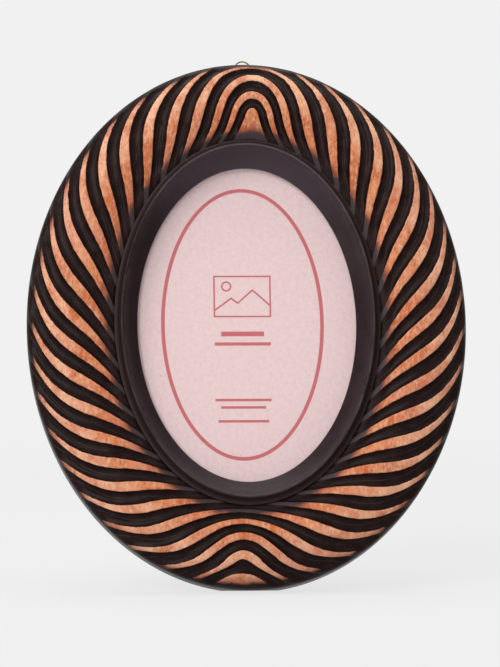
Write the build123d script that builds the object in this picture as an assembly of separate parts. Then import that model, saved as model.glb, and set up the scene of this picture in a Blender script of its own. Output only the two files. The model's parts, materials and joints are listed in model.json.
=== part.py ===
from build123d import *
from math import cos, exp, hypot, radians, sin, sqrt, tan
import os

# An oval picture frame for a 5 x 7 inch photograph, standing on its easel strut.
# Each piece is made on the bench, face up: X across the face, Y up the face, Z out of the
# face, with the middle of the oval on the Z axis and the back of the wood on Z = 0.
# The finished pieces are then stood up: +Z up, face towards -Y, the table on Z = 0 and the
# middle of the small flat under the bottom edge on the origin. Millimetres.

# Photograph and glazing
PHOTO_WIDTH = 127.0
PHOTO_HEIGHT = 177.8
RABBET_CLEARANCE = 0.8
GLASS_THICKNESS = 2.0
CARD_THICKNESS = 0.5
CARD_TRIM = 0.4
FILLER_THICKNESS = 4.4
PANEL_THICKNESS = 3.0
PANEL_CLEARANCE = 0.4
PANEL_RECESS = 0.1

# Sight liner: it covers the edge of the photograph, coves up to its lip and slopes down outside
SIGHT_OVERLAP_SIDE = 5.0
SIGHT_OVERLAP_END = 3.25
SIGHT_EDGE = 1.6
COVE_RUN_SIDE = 8.7
COVE_RUN_END = 9.9
LIP_LAND = 1.0
LIP_LEVEL = 25.0
RIM_RUN = 3.8
LINER_CLEARANCE = 0.15

# Carved wooden ring
FRAME_WIDTH = 235.0
FRAME_HEIGHT = 287.0
SIDE_LEVEL = 10.0
CREST_LEVEL = 26.0
CREST_INSET = 24.0
CREST_LAND = 2.0
VALLEY_LEVEL = 19.5
BACK_CHAMFER = 1.5
DOME_STEPS = 6

# Carved grooves, between ridges that are counted from a finger of wood at the top to one at
# the bottom. A run goes across the ring: 0 at the liner, 1 at the side.
LAST_RIDGE = 23
CREST_RUN = 0.46
GROOVE_DEPTH = 2.4
GROOVE_WIDTH = 8.6
ARCH_GROOVE_WIDTH = 7.0
GROOVE_WALL_RUN = 2.3
GROOVE_HEADROOM = 3.0
GROOVE_LIFT = 0.4
GROOVE_START = 0.03
GROOVE_STOP = 0.01
GROOVE_FADE = 0.11
GROOVE_STEPS = 5

# Layout of the ridges, in degrees round the oval from the carver's centre line
CENTRE_LINE = 2.36
MIDDLE_RUN = 0.5
FIRST_RIDGE = 1.05
PITCH_PLACES = (0, 15, 45, 95, 150, 180)
PITCHES = (6.3, 10.39, 9.47, 8.07, 8.53, 9.79)
SWEEP = (18.58, 5.97, 50.0)
HAND_DRIFT = (0.122, -0.073, -0.017)
ARCH_ROUNDING = 3.84
ARCH_ROUNDING_GROWTH = 19.9
ARCH_SPREAD = 14.7
ARCH_SWEEP = -0.547
ARCH_DROP = -5.66
ARCH_CROWD = 0.29
CROWD_START = 0.82
CROWD_FULL = 0.92
BOWL_ROUNDING = 5.29
BOWL_ROUNDING_GROWTH = -19.3
BOWL_SPREAD = 10.1
BOWL_SWEEP = 0.283
BOWL_DROP = 3.73
LEAST_ARCH_ROUNDING = 0.2
LEAST_BOWL_ROUNDING = 2.0
HALVINGS = 40
FACE_STEP = 0.005

# Standing
LEAN = 15.0
FOOT_CUT = 1.2

# Turn buttons
BUTTON_PARAMETER = 48.0
BUTTON_SETBACK = 9.0
BUTTON_LENGTH = 23.0
BUTTON_WIDTH = 9.5
BUTTON_THICKNESS = 1.2
BUTTON_GAP = 0.1
BUTTON_EDGE = 0.3

# Round-head screws
SCREW_RADIUS = 1.5
SCREW_LENGTH = 9.0
SCREW_HEAD_RADIUS = 3.0
SCREW_HEAD_HEIGHT = 1.8
SCREW_HEAD_ROUND = 1.2
SCREW_SLOT_WIDTH = 0.8
SCREW_SLOT_DEPTH = 0.8
SCREW_POINT = 3.0
RUNNING_CLEARANCE = 0.05

# Easel strut
HINGE_RISE = 21.5
STRUT_OPEN = 26.0
LEG_THICKNESS = 3.0
LEG_TOP_WIDTH = 32.0
LEG_FOOT_WIDTH = 38.0
LEG_CLEARANCE = 0.3
LEG_TOP_GAP = 0.6
HEAD_BLOCK_HEIGHT = 34.0
HEAD_BLOCK_CORNER = 6.0

# Butt hinge
LEAF_THICKNESS = 0.8
LEAF_LENGTH = 22.0
HINGE_WIDTH = 26.0
LEAF_CORNER = 2.5
KNUCKLE_RADIUS = 1.8
KNUCKLE_LENGTH = 9.0
KNUCKLE_GAP = 0.2
LEAF_SETBACK = 0.4
PIN_RADIUS = 1.0
PIN_CHAMFER = 0.25
STOP_TAB_LENGTH = 9.0
STOP_TAB_GAP = 0.1

# Rivets
RIVET_RADIUS = 1.1
RIVET_HEAD_RADIUS = 2.2
RIVET_HEAD_HEIGHT = 0.9
RIVET_SPACING = 16.0
RIVET_REACH = 15.0
RIVET_BITE = 2.0
RIVET_CLEARANCE = 0.02

# Hanging ring and its strap
RING_RADIUS = 4.2
RING_WIRE_RADIUS = 0.45
RING_RISE = 1.2
STRAP_THICKNESS = 0.5
STRAP_WIDTH = 4.0
STRAP_LENGTH = 14.0
STRAP_EYE_RADIUS = 1.15
STRAP_SCREW_DROP = 9.0
STRAP_SCREW_RADIUS = 1.0
STRAP_SCREW_LENGTH = 7.0
STRAP_SCREW_HEAD_RADIUS = 1.9
STRAP_SCREW_HEAD_HEIGHT = 1.2
STRAP_SCREW_HEAD_ROUND = 0.8
STRAP_SCREW_SLOT = 0.5
STRAP_SCREW_POINT = 2.0

# Levels above the back of the wood, stacked from the back panel forwards
panel_front = PANEL_RECESS + PANEL_THICKNESS
filler_front = panel_front + FILLER_THICKNESS
card_front = filler_front + CARD_THICKNESS
ledge_level = card_front + GLASS_THICKNESS
rabbet_width = PHOTO_WIDTH + 2 * RABBET_CLEARANCE
rabbet_height = PHOTO_HEIGHT + 2 * RABBET_CLEARANCE

# The liner, from the edge of the photograph outwards
sight_width = PHOTO_WIDTH - 2 * SIGHT_OVERLAP_SIDE
sight_height = PHOTO_HEIGHT - 2 * SIGHT_OVERLAP_END
lip_width = sight_width + 2 * COVE_RUN_SIDE
lip_height = sight_height + 2 * COVE_RUN_END
liner_width = lip_width + 2 * RIM_RUN
liner_height = lip_height + 2 * RIM_RUN

# The face of the wood, from the seat of the liner to the crest
seat_width = liner_width + 2 * LINER_CLEARANCE
seat_height = liner_height + 2 * LINER_CLEARANCE
crest_width = FRAME_WIDTH - 2 * CREST_INSET - CREST_LAND
crest_height = FRAME_HEIGHT - 2 * CREST_INSET - CREST_LAND
inner_rise = CREST_LEVEL - VALLEY_LEVEL
outer_rise = CREST_LEVEL - SIDE_LEVEL
groove_end = 1 - GROOVE_STOP

# The strut: outer faces of head block and folded leg are in one plane, where the hinge lies
leg_front = PANEL_RECESS - LEG_CLEARANCE
hinge_face = leg_front - LEG_THICKNESS
hinge_axis_level = hinge_face - KNUCKLE_RADIUS
leaf_start = KNUCKLE_RADIUS + LEAF_SETBACK

# Rivets pass through the leaf and the board under it, and bite into the next board
head_rivet_grip = LEAF_THICKNESS + PANEL_RECESS - hinge_face + RIVET_BITE
leg_rivet_grip = LEAF_THICKNESS + RIVET_BITE

# The strap's eye lies on the back of the wood, under the top edge
strap_radius = STRAP_EYE_RADIUS + STRAP_THICKNESS
eye_rise = FRAME_HEIGHT / 2 + RING_RISE - RING_RADIUS
strap_screw_rise = eye_rise - STRAP_SCREW_DROP
EYE_LINE = Pos(0, eye_rise, -strap_radius)

# Standing place: the table cuts a small flat on the bottom edge of the leaning wood
lean = radians(LEAN)
table_drop = FRAME_HEIGHT / 2 * cos(lean) - BACK_CHAMFER * sin(lean) - FOOT_CUT
foot_reach = BACK_CHAMFER + FOOT_CUT / sin(lean)
foot_middle = -table_drop * tan(lean) - foot_reach / 2 / cos(lean)
STAND = Pos(0, -foot_middle, table_drop) * Rot(90 - LEAN, 0, 0)
HINGE_LINE = Pos(0, HINGE_RISE, hinge_axis_level)


def oval(width, height, level):
    """Flat oval face, lying at a level above the back of the wood."""
    return Pos(0, 0, level) * Ellipse(width / 2, height / 2)


def oval_plate(width, height, level, thickness):
    """Straight-sided oval plate."""
    return extrude(oval(width, height, level), thickness)


def inset_oval(inset, level):
    """Oval at a distance inside the outer edge of the wood."""
    return oval(FRAME_WIDTH - 2 * inset, FRAME_HEIGHT - 2 * inset, level)


def below_table():
    """Everything under the table top, in the standing place."""
    size = 3 * FRAME_HEIGHT
    return Pos(0, 0, -size / 2) * Box(size, size, size)


def screw(radius, length, head_radius, head_height, head_round, slot_width, slot_depth, point):
    """Slotted round-head screw along +Z, with the underside of its head on Z = 0."""
    low = (Align.CENTER, Align.CENTER, Align.MIN)
    high = (Align.CENTER, Align.CENTER, Align.MAX)
    head = Cylinder(head_radius, head_height, align=high)
    head = fillet(head.edges().sort_by(Axis.Z)[:1], head_round)
    head -= Pos(0, 0, -head_height) * Box(2 * head_radius, slot_width, slot_depth, align=low)
    shank = Cylinder(radius, length - point, align=low)
    tip = Pos(0, 0, length - point) * Cone(radius, radius / 4, point, align=low)
    return head + shank + tip


def screw_hole(radius, depth):
    """Hole for a screw, from just behind the back of the wood."""
    return Pos(0, 0, depth / 2) * Cylinder(radius + RIVET_CLEARANCE, depth)


def button_places():
    """Place of each turn button: its pivot on the origin, its tip along -Y to the middle."""
    names = {
        "upper_right": BUTTON_PARAMETER,
        "lower_right": 180 - BUTTON_PARAMETER,
        "lower_left": 180 + BUTTON_PARAMETER,
        "upper_left": 360 - BUTTON_PARAMETER,
    }
    places = {}
    for name, turn in names.items():
        across, along = sin(radians(turn)), cos(radians(turn))
        out_x, out_y = across / rabbet_width, along / rabbet_height
        length = hypot(out_x, out_y)
        out = Vector(out_x / length, out_y / length)
        edge = Vector(across * rabbet_width / 2, along * rabbet_height / 2)
        pivot = edge + out * BUTTON_SETBACK
        heading = Vector(0, 1).get_signed_angle(out, Vector(0, 0, 1))
        places[name] = Pos(pivot.X, pivot.Y, 0) * Rot(0, 0, heading)
    return places


def rivet_places(rise):
    """Two rivet places side by side on the hinge face, at a rise from the hinge line."""
    level = hinge_face - LEAF_THICKNESS
    return [Pos(side * RIVET_SPACING / 2, HINGE_RISE + rise, level) for side in (-1, 1)]


def rivet(grip):
    """Round-head rivet along +Z, with the underside of its head on Z = 0."""
    low = (Align.CENTER, Align.CENTER, Align.MIN)
    ball = (RIVET_HEAD_RADIUS ** 2 + RIVET_HEAD_HEIGHT ** 2) / (2 * RIVET_HEAD_HEIGHT)
    dome = Pos(0, 0, ball - RIVET_HEAD_HEIGHT) * Sphere(ball)
    head = dome & (Pos(0, 0, -ball) * Box(2 * ball, 2 * ball, 2 * ball))
    return head + Cylinder(RIVET_RADIUS, grip, align=low)


def rivet_holes(rise, depth):
    """Holes for the two rivets of one hinge leaf."""
    hole = Pos(0, 0, depth / 2) * Cylinder(RIVET_RADIUS + RIVET_CLEARANCE, depth)
    return [place * hole for place in rivet_places(rise)]


def ridges_to(mark):
    """How many ridge pitches lie between the top and a mark, by Simpson's rule between places."""
    count = min(mark - PITCH_PLACES[0], 0) / PITCHES[0]
    count += max(mark - PITCH_PLACES[-1], 0) / PITCHES[-1]
    spans = zip(PITCH_PLACES, PITCH_PLACES[1:], PITCHES, PITCHES[1:])
    for start, end, pitch, next_pitch in spans:
        reach = min(max(mark - start, 0), end - start)
        here = pitch + (next_pitch - pitch) * reach / (end - start)
        count += reach / 6 * (1 / pitch + 8 / (pitch + here) + 1 / here)
    return count


def ridge_number(turn, run):
    """Number of the ridge at a turn from the centre line; a groove lies half way between two.

    Both sides sweep up and outwards. They meet rounded, in arches at the top and bowls below.
    The outermost arch is crowded inwards, so that it passes over the top inside the edge.
    """
    from_top, from_bottom, x = abs(turn), 180 - abs(turn), run - MIDDLE_RUN
    arch = exp(-((from_top / ARCH_SPREAD) ** 2))
    bowl = exp(-((from_bottom / BOWL_SPREAD) ** 2))
    arch_rounding = max(ARCH_ROUNDING + ARCH_ROUNDING_GROWTH * x, LEAST_ARCH_ROUNDING)
    bowl_rounding = max(BOWL_ROUNDING + BOWL_ROUNDING_GROWTH * x, LEAST_BOWL_ROUNDING)
    rounded = hypot(from_top, arch_rounding) - hypot(from_bottom, bowl_rounding) + from_bottom
    sweep_up = SWEEP[0] * x + SWEEP[1] * x ** 2 + SWEEP[2] * x ** 3
    mark = rounded + sweep_up * (1 + ARCH_SWEEP * arch + BOWL_SWEEP * bowl)
    mark += ARCH_DROP * arch + BOWL_DROP * bowl
    drift = sum(share * sin(radians(wave * turn)) for wave, share in enumerate(HAND_DRIFT, 1))
    near_edge = min(max((run - CROWD_START) / (CROWD_FULL - CROWD_START), 0), 1)
    return FIRST_RIDGE + ridges_to(mark) + drift + ARCH_CROWD * near_edge * arch


def solve(growing, low, high, target):
    """Value between low and high at which a growing function reaches its target, by halving."""
    for _ in range(HALVINGS):
        middle = (low + high) / 2
        if growing(middle) < target:
            low = middle
        else:
            high = middle
    return middle


def face_point(turn, run):
    """Point of the uncarved face: on the climb from liner to crest, or on the shoulder outside."""
    if run < CREST_RUN:
        share = run / CREST_RUN
        width = seat_width + (crest_width - seat_width) * share
        height = seat_height + (crest_height - seat_height) * share
        level = VALLEY_LEVEL + inner_rise * sin(radians(90 * share))
    else:
        share = (1 - run) / (1 - CREST_RUN)
        width = FRAME_WIDTH + (crest_width - FRAME_WIDTH) * share
        height = FRAME_HEIGHT + (crest_height - FRAME_HEIGHT) * share
        level = SIDE_LEVEL + outer_rise * sqrt(1 - (1 - share) ** 2)
    angle = radians(CENTRE_LINE + turn)
    return Vector(width / 2 * sin(angle), height / 2 * cos(angle), level)


def face_normal(turn, run):
    """Direction straight out of the uncarved face."""
    along = face_point(turn + FACE_STEP, run) - face_point(turn - FACE_STEP, run)
    across = face_point(turn, run + FACE_STEP) - face_point(turn, run - FACE_STEP)
    return along.cross(across).normalized()


def groove_lines(number):
    """Turns and runs along a groove: one line over the top or under the bottom, or one a side."""
    arch = ridge_number(0, groove_end) > number
    bowl = ridge_number(180, GROOVE_START) < number
    low, high = GROOVE_START, groove_end
    if arch:
        high = solve(lambda run: ridge_number(0, run), low, high, number)
    if bowl:
        low = solve(lambda run: ridge_number(180, run), low, high, number)
    sides = []
    for side in (-1, 1):
        line = []
        for step in range(GROOVE_STEPS + 1):
            share = step / GROOVE_STEPS
            if arch:
                share = 1 - (1 - share) ** 2
            elif bowl:
                share = share ** 2
            run = low + (high - low) * share
            turn = solve(lambda angle: ridge_number(side * angle, run), 0, 180, number)
            line.append((side * turn, run))
        sides.append(line)
    left, right = sides
    if arch:
        return [left[:-1] + right[::-1]]
    if bowl:
        return [left[:0:-1] + right]
    return sides


def gouge_cut(line, width):
    """Cut of a gouge along a line: flat floor, sloping walls, lifted out of the wood at both ends."""
    points = [face_point(turn, run) for turn, run in line]
    behind, ahead = points[:1] + points[:-1], points[1:] + points[-1:]
    floor_half = width / 2 - GROOVE_WALL_RUN
    height = GROOVE_DEPTH + GROOVE_HEADROOM
    top_half = floor_half + GROOVE_WALL_RUN * height / GROOVE_DEPTH
    sections = []
    for (turn, run), point, last, following in zip(line, points, behind, ahead):
        out = face_normal(turn, run)
        beside = (following - last).cross(out).normalized()
        sink = min(1, (run - GROOVE_START) / GROOVE_FADE, (groove_end - run) / GROOVE_FADE)
        floor = point - out * (GROOVE_DEPTH * sink - GROOVE_LIFT * (1 - sink))
        top = floor + out * height
        corners = [floor - beside * floor_half, floor + beside * floor_half]
        corners += [top + beside * top_half, top - beside * top_half]
        sections.append(make_face(Polyline(*corners, close=True)))
    return loft(sections, ruled=True)


def make_grooves():
    """All gouge cuts, each in the middle between two ridges."""
    cuts = []
    for ridge in range(LAST_RIDGE):
        lines = groove_lines(ridge + 0.5)
        width = ARCH_GROOVE_WIDTH if len(lines) == 1 else GROOVE_WIDTH
        cuts += [gouge_cut(line, width) for line in lines]
    return cuts


def make_carved_frame():
    """Domed ring with carved grooves, a rabbet from the back and a seat for the liner in front."""
    bottom = loft([inset_oval(BACK_CHAMFER, 0), inset_oval(0, BACK_CHAMFER)], ruled=True)
    side = extrude(inset_oval(0, BACK_CHAMFER), SIDE_LEVEL - BACK_CHAMFER)
    outer, inner = [], []
    land_width = FRAME_WIDTH - 2 * (CREST_INSET + CREST_LAND)
    land_height = FRAME_HEIGHT - 2 * (CREST_INSET + CREST_LAND)
    for step in range(DOME_STEPS + 1):
        share = step / DOME_STEPS
        turn = radians(90 * share)
        outer.append(inset_oval(CREST_INSET * (1 - cos(turn)), SIDE_LEVEL + outer_rise * sin(turn)))
        inner.append(oval(
            seat_width + (land_width - seat_width) * share,
            seat_height + (land_height - seat_height) * share,
            VALLEY_LEVEL + inner_rise * sin(turn),
        ))
    ring = bottom + side + loft(outer) - loft(inner)
    ring -= oval_plate(seat_width, seat_height, ledge_level, CREST_LEVEL)
    ring -= oval_plate(rabbet_width, rabbet_height, 0, ledge_level)
    for place in button_places().values():
        ring -= place * screw_hole(SCREW_RADIUS, SCREW_LENGTH)
    ring -= Pos(0, strap_screw_rise) * screw_hole(STRAP_SCREW_RADIUS, STRAP_SCREW_LENGTH)
    ring -= make_grooves()
    return STAND * ring - below_table()


def make_sight_liner():
    """Dark inner slip: a cove that rises from the sight edge to a narrow lip."""
    wall = oval_plate(liner_width, liner_height, ledge_level, VALLEY_LEVEL - ledge_level)
    lip = [lip_width + LIP_LAND, lip_height + LIP_LAND, LIP_LEVEL]
    slope = loft([oval(liner_width, liner_height, VALLEY_LEVEL), oval(*lip)], ruled=True)
    sight_front = ledge_level + SIGHT_EDGE
    edge = oval_plate(sight_width, sight_height, ledge_level, SIGHT_EDGE)
    mouth = [lip_width - LIP_LAND, lip_height - LIP_LAND, LIP_LEVEL]
    cove = loft([oval(sight_width, sight_height, sight_front), oval(*mouth)], ruled=True)
    return STAND * (wall + slope - edge - cove)


def make_glass_pane():
    return STAND * oval_plate(PHOTO_WIDTH, PHOTO_HEIGHT, card_front, GLASS_THICKNESS)


def make_photo_card():
    width, height = PHOTO_WIDTH - 2 * CARD_TRIM, PHOTO_HEIGHT - 2 * CARD_TRIM
    return STAND * oval_plate(width, height, filler_front, CARD_THICKNESS)


def make_filler_board():
    width, height = PHOTO_WIDTH - 2 * CARD_TRIM, PHOTO_HEIGHT - 2 * CARD_TRIM
    return STAND * oval_plate(width, height, panel_front, FILLER_THICKNESS)


def make_back_panel():
    """Oval board that closes the rabbet and carries the strut."""
    width, height = rabbet_width - 2 * PANEL_CLEARANCE, rabbet_height - 2 * PANEL_CLEARANCE
    board = oval_plate(width, height, PANEL_RECESS, PANEL_THICKNESS)
    board -= rivet_holes(RIVET_REACH, head_rivet_grip)
    return STAND * board


def make_turn_button():
    """Round-ended plate with its pivot hole on the origin and its tip along -Y."""
    end = BUTTON_WIDTH / 2
    outline = SlotOverall(BUTTON_LENGTH, BUTTON_WIDTH, rotation=90)
    plate = extrude(Pos(0, end - BUTTON_LENGTH / 2) * outline, BUTTON_THICKNESS)
    plate = chamfer(plate.faces().sort_by(Axis.Z)[0].edges(), BUTTON_EDGE)
    hole = Cylinder(SCREW_RADIUS + RUNNING_CLEARANCE, 4 * BUTTON_THICKNESS)
    return Pos(0, 0, -BUTTON_GAP - BUTTON_THICKNESS) * (plate - hole)


def make_button_screws():
    """One screw through each turn button, its head just clear of the plate."""
    one = screw(
        SCREW_RADIUS, SCREW_LENGTH, SCREW_HEAD_RADIUS, SCREW_HEAD_HEIGHT, SCREW_HEAD_ROUND,
        SCREW_SLOT_WIDTH, SCREW_SLOT_DEPTH, SCREW_POINT,
    )
    under_head = -BUTTON_THICKNESS - 2 * BUTTON_GAP
    solids = [STAND * place * Pos(0, 0, under_head) * one for place in button_places().values()]
    return Compound(solids)


def make_head_block():
    """Small board glued above the leg, as thick as the leg and its clearance."""
    low = HINGE_RISE + LEG_TOP_GAP
    outline = Pos(0, low + HEAD_BLOCK_HEIGHT / 2) * Rectangle(LEG_TOP_WIDTH, HEAD_BLOCK_HEIGHT)
    outline = fillet(outline.vertices().sort_by(Axis.Y)[-2:], HEAD_BLOCK_CORNER)
    block = extrude(Pos(0, 0, hinge_face) * outline, PANEL_RECESS - hinge_face)
    return STAND * (block - rivet_holes(RIVET_REACH, head_rivet_grip))


def make_strut_leg():
    """Tapered leg, opened about the hinge line and cut level where it meets the table."""
    top = HINGE_RISE - LEG_TOP_GAP
    foot = -FRAME_HEIGHT / 2
    half_top, half_foot = LEG_TOP_WIDTH / 2, LEG_FOOT_WIDTH / 2
    corners = [(-half_foot, foot), (half_foot, foot), (half_top, top), (-half_top, top)]
    outline = make_face(Polyline(*corners, close=True))
    leg = extrude(Pos(0, 0, hinge_face) * outline, LEG_THICKNESS)
    leg -= rivet_holes(-RIVET_REACH, leg_rivet_grip)
    return STAND * opened(leg) - below_table()


def opened(piece):
    """A piece of the folded strut, turned about the hinge line to its open place."""
    return HINGE_LINE * Rot(STRUT_OPEN, 0, 0) * HINGE_LINE.inverse() * piece


def knuckle(middle, length):
    """Hinge knuckle on the hinge line, bored for the pin."""
    turn = Rot(0, 90, 0)
    tube = Cylinder(KNUCKLE_RADIUS, length) - Cylinder(PIN_RADIUS + RUNNING_CLEARANCE, length)
    return HINGE_LINE * Pos(middle, 0, 0) * turn * tube


def leaf(direction):
    """Flat hinge leaf on the hinge face, above (1) or below (-1) the hinge line."""
    length = LEAF_LENGTH - leaf_start
    middle = HINGE_RISE + direction * (leaf_start + length / 2)
    outline = Pos(0, middle) * RectangleRounded(HINGE_WIDTH, length, LEAF_CORNER)
    plate = extrude(Pos(0, 0, hinge_face - LEAF_THICKNESS) * outline, LEAF_THICKNESS)
    return plate - rivet_holes(direction * RIVET_REACH, LEAF_THICKNESS)


def leaf_neck(middle, length, direction):
    """Sheet between a knuckle and its leaf, tangent to the knuckle."""
    reach = leaf_start + LEAF_CORNER
    rise = HINGE_RISE + direction * reach / 2
    sheet = Box(length, reach, LEAF_THICKNESS)
    neck = Pos(middle, rise, hinge_face - LEAF_THICKNESS / 2) * sheet
    bore = HINGE_LINE * Rot(0, 90, 0) * Cylinder(PIN_RADIUS + RUNNING_CLEARANCE, HINGE_WIDTH)
    return neck - bore


def make_hinge_fixed_leaf():
    """Leaf on the head block, with the two outer knuckles."""
    length = (HINGE_WIDTH - KNUCKLE_LENGTH) / 2 - KNUCKLE_GAP
    piece = leaf(1)
    for side in (-1, 1):
        middle = side * (HINGE_WIDTH - length) / 2
        piece += knuckle(middle, length) + leaf_neck(middle, length, 1)
    return STAND * piece


def make_hinge_moving_leaf():
    """Leaf on the leg, with the middle knuckle and a tab that stops it on the fixed leaf."""
    tab_face = hinge_face - LEAF_THICKNESS - STOP_TAB_GAP
    tab_start = (KNUCKLE_RADIUS + PIN_RADIUS + RUNNING_CLEARANCE) / 2
    tab_length = STOP_TAB_LENGTH - tab_start
    sheet = Box(KNUCKLE_LENGTH, tab_length, LEAF_THICKNESS)
    tab = Pos(0, HINGE_RISE + tab_start + tab_length / 2, tab_face - LEAF_THICKNESS / 2) * sheet
    folded = leaf(-1) + knuckle(0, KNUCKLE_LENGTH) + leaf_neck(0, KNUCKLE_LENGTH, -1)
    return STAND * (opened(folded) + tab)


def make_hinge_pin():
    rod = Cylinder(PIN_RADIUS, HINGE_WIDTH)
    rod = chamfer(rod.edges().filter_by(GeomType.CIRCLE), PIN_CHAMFER)
    return STAND * HINGE_LINE * Rot(0, 90, 0) * rod


def make_head_rivets():
    return Compound([STAND * place * rivet(head_rivet_grip) for place in rivet_places(RIVET_REACH)])


def make_leg_rivets():
    places = rivet_places(-RIVET_REACH)
    return Compound([STAND * opened(place * rivet(leg_rivet_grip)) for place in places])


def make_hanger_strap():
    """Strip folded round the ring and pressed flat on the wood below it, with one screw hole."""
    low = (Align.MIN, Align.MIN)
    eye = Circle(strap_radius) - Circle(STRAP_EYE_RADIUS)
    legs = Pos(-strap_radius) * Rectangle(2 * STRAP_THICKNESS, STRAP_LENGTH, align=low)
    section = eye + (legs - Circle(STRAP_EYE_RADIUS))
    strip = extrude(section, STRAP_WIDTH / 2, both=True)
    hole = Rot(0, 90, 0) * Cylinder(STRAP_SCREW_RADIUS + RIVET_CLEARANCE, 4 * strap_radius)
    strip -= Pos(0, STRAP_SCREW_DROP) * hole
    return STAND * EYE_LINE * Rot(0, -90, 0) * Rot(0, 0, 180) * strip


def make_hanger_ring():
    """Plain wire ring, standing up through the eye of its strap."""
    return STAND * EYE_LINE * Pos(0, RING_RADIUS) * Torus(RING_RADIUS, RING_WIRE_RADIUS)


def make_hanger_screw():
    one = screw(
        STRAP_SCREW_RADIUS, STRAP_SCREW_LENGTH, STRAP_SCREW_HEAD_RADIUS,
        STRAP_SCREW_HEAD_HEIGHT, STRAP_SCREW_HEAD_ROUND, STRAP_SCREW_SLOT, STRAP_SCREW_SLOT,
        STRAP_SCREW_POINT,
    )
    return STAND * Pos(0, strap_screw_rise, -2 * STRAP_THICKNESS) * one


pieces = {
    "carved_frame": make_carved_frame(),
    "sight_liner": make_sight_liner(),
    "glass_pane": make_glass_pane(),
    "photo_card": make_photo_card(),
    "filler_board": make_filler_board(),
    "back_panel": make_back_panel(),
    "turn_button_screws": make_button_screws(),
    "strut_head_block": make_head_block(),
    "strut_leg": make_strut_leg(),
    "hinge_fixed_leaf": make_hinge_fixed_leaf(),
    "hinge_moving_leaf": make_hinge_moving_leaf(),
    "hinge_pin": make_hinge_pin(),
    "head_rivets": make_head_rivets(),
    "leg_rivets": make_leg_rivets(),
    "hanger_strap": make_hanger_strap(),
    "hanger_ring": make_hanger_ring(),
    "hanger_screw": make_hanger_screw(),
}
for name, place in button_places().items():
    pieces["turn_button_" + name] = STAND * place * make_turn_button()

os.makedirs("parts", exist_ok=True)
for name, piece in pieces.items():
    export_step(piece, f"parts/{name}.step")
    print(name, "solids", len(piece.solids()), "volume", round(piece.volume, 1))
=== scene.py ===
# %% [markdown]
# # An oval picture frame with wavy carved ridges
# The part is a domed oval ring of wood. Its face is painted nearly black, and a carver has cut wavy
# grooves into it, so that bare orange ridges stand between dark grooves. A dark slip lines the opening,
# glass and a card lie behind it, and a hinged leg at the back lets the frame stand on a table.
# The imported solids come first: every size and place below is read from them where it can be.

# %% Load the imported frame
import json
from math import cos, radians, sin

import bpy
import numpy as np
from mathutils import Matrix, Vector


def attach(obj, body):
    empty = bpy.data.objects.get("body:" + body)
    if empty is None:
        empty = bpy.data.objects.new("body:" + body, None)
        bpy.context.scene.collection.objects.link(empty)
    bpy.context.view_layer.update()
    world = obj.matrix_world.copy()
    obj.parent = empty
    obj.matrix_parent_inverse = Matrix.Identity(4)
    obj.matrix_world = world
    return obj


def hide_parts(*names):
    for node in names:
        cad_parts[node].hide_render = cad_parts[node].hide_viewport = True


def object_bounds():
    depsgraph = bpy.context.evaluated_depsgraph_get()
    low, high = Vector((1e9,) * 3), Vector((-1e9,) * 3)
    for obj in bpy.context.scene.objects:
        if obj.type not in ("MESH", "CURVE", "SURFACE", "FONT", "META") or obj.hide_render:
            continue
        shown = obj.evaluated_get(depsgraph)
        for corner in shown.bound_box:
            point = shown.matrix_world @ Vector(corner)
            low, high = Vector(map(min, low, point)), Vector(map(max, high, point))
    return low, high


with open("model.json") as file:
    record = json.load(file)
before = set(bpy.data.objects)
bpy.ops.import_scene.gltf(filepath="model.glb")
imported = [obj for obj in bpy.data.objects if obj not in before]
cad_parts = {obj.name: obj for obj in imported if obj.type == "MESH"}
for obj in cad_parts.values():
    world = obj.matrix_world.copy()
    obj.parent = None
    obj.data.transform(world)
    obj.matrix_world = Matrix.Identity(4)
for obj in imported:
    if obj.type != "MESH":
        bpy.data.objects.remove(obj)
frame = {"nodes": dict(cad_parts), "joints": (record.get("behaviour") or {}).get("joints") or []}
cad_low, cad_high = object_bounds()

print("packed pieces:", len(frame["nodes"]))
print("size in metres:", [round(side, 4) for side in cad_high - cad_low])

# %% [markdown]
# ## The bench
# The frame leans back on its leg, but it is far easier to think about while it lies face up on a
# bench: across the face, up the face and out of the face. The screws of the turn buttons point
# straight out of the face, so one of their joints gives the lean.

# %% Find the bench axes
MM = 0.001
across = np.array([1.0, 0.0, 0.0])
turns = {joint["name"]: joint for joint in frame["joints"]}
button_axis = np.array(turns["turn_button_upper_left_turn"]["axis"])
out_of_face = button_axis / np.linalg.norm(button_axis)
up_face = np.cross(out_of_face, across)
bench_axes = np.stack([across, up_face, out_of_face])
lean = np.arctan2(out_of_face[2], -out_of_face[1])
print("lean in degrees:", round(np.degrees(lean), 2))

# %% [markdown]
# ## From the bench to the table
# The middle of the oval back panel, moved to the back of the wood, is the bench's origin. Two small
# functions then carry points from the bench to the table and back. The pieces could be built lying down
# and turned afterwards, but a piece whose place is in its mesh needs no turning and can't slip.

# %% Carry points to and from the bench
def corners_of(node):
    """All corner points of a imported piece, one row each, as it stands."""
    mesh = frame["nodes"][node].data
    points = np.zeros(len(mesh.vertices) * 3)
    mesh.vertices.foreach_get("co", points)
    return points.reshape(-1, 3)


def middle_of(node):
    """The middle of a piece's box on the bench, carried back to where the frame stands."""
    on_axes = corners_of(node) @ bench_axes.T
    return (on_axes.min(0) + on_axes.max(0)) / 2 @ bench_axes


bench_origin = middle_of("back_panel")
wood_back = ((corners_of("carved_frame") - bench_origin) @ out_of_face).min()
bench_origin = bench_origin + wood_back * out_of_face


def to_bench(points):
    """Standing points to bench points: how far across, up the face and out of the face they lie."""
    return (points - bench_origin) @ bench_axes.T


def to_table(points):
    """Bench points to standing points: the bench axes, each taken so far from the bench's origin."""
    return points @ bench_axes + bench_origin


def bench_box(node):
    """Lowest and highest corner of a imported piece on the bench."""
    points = to_bench(corners_of(node))
    return points.min(0), points.max(0)


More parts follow.
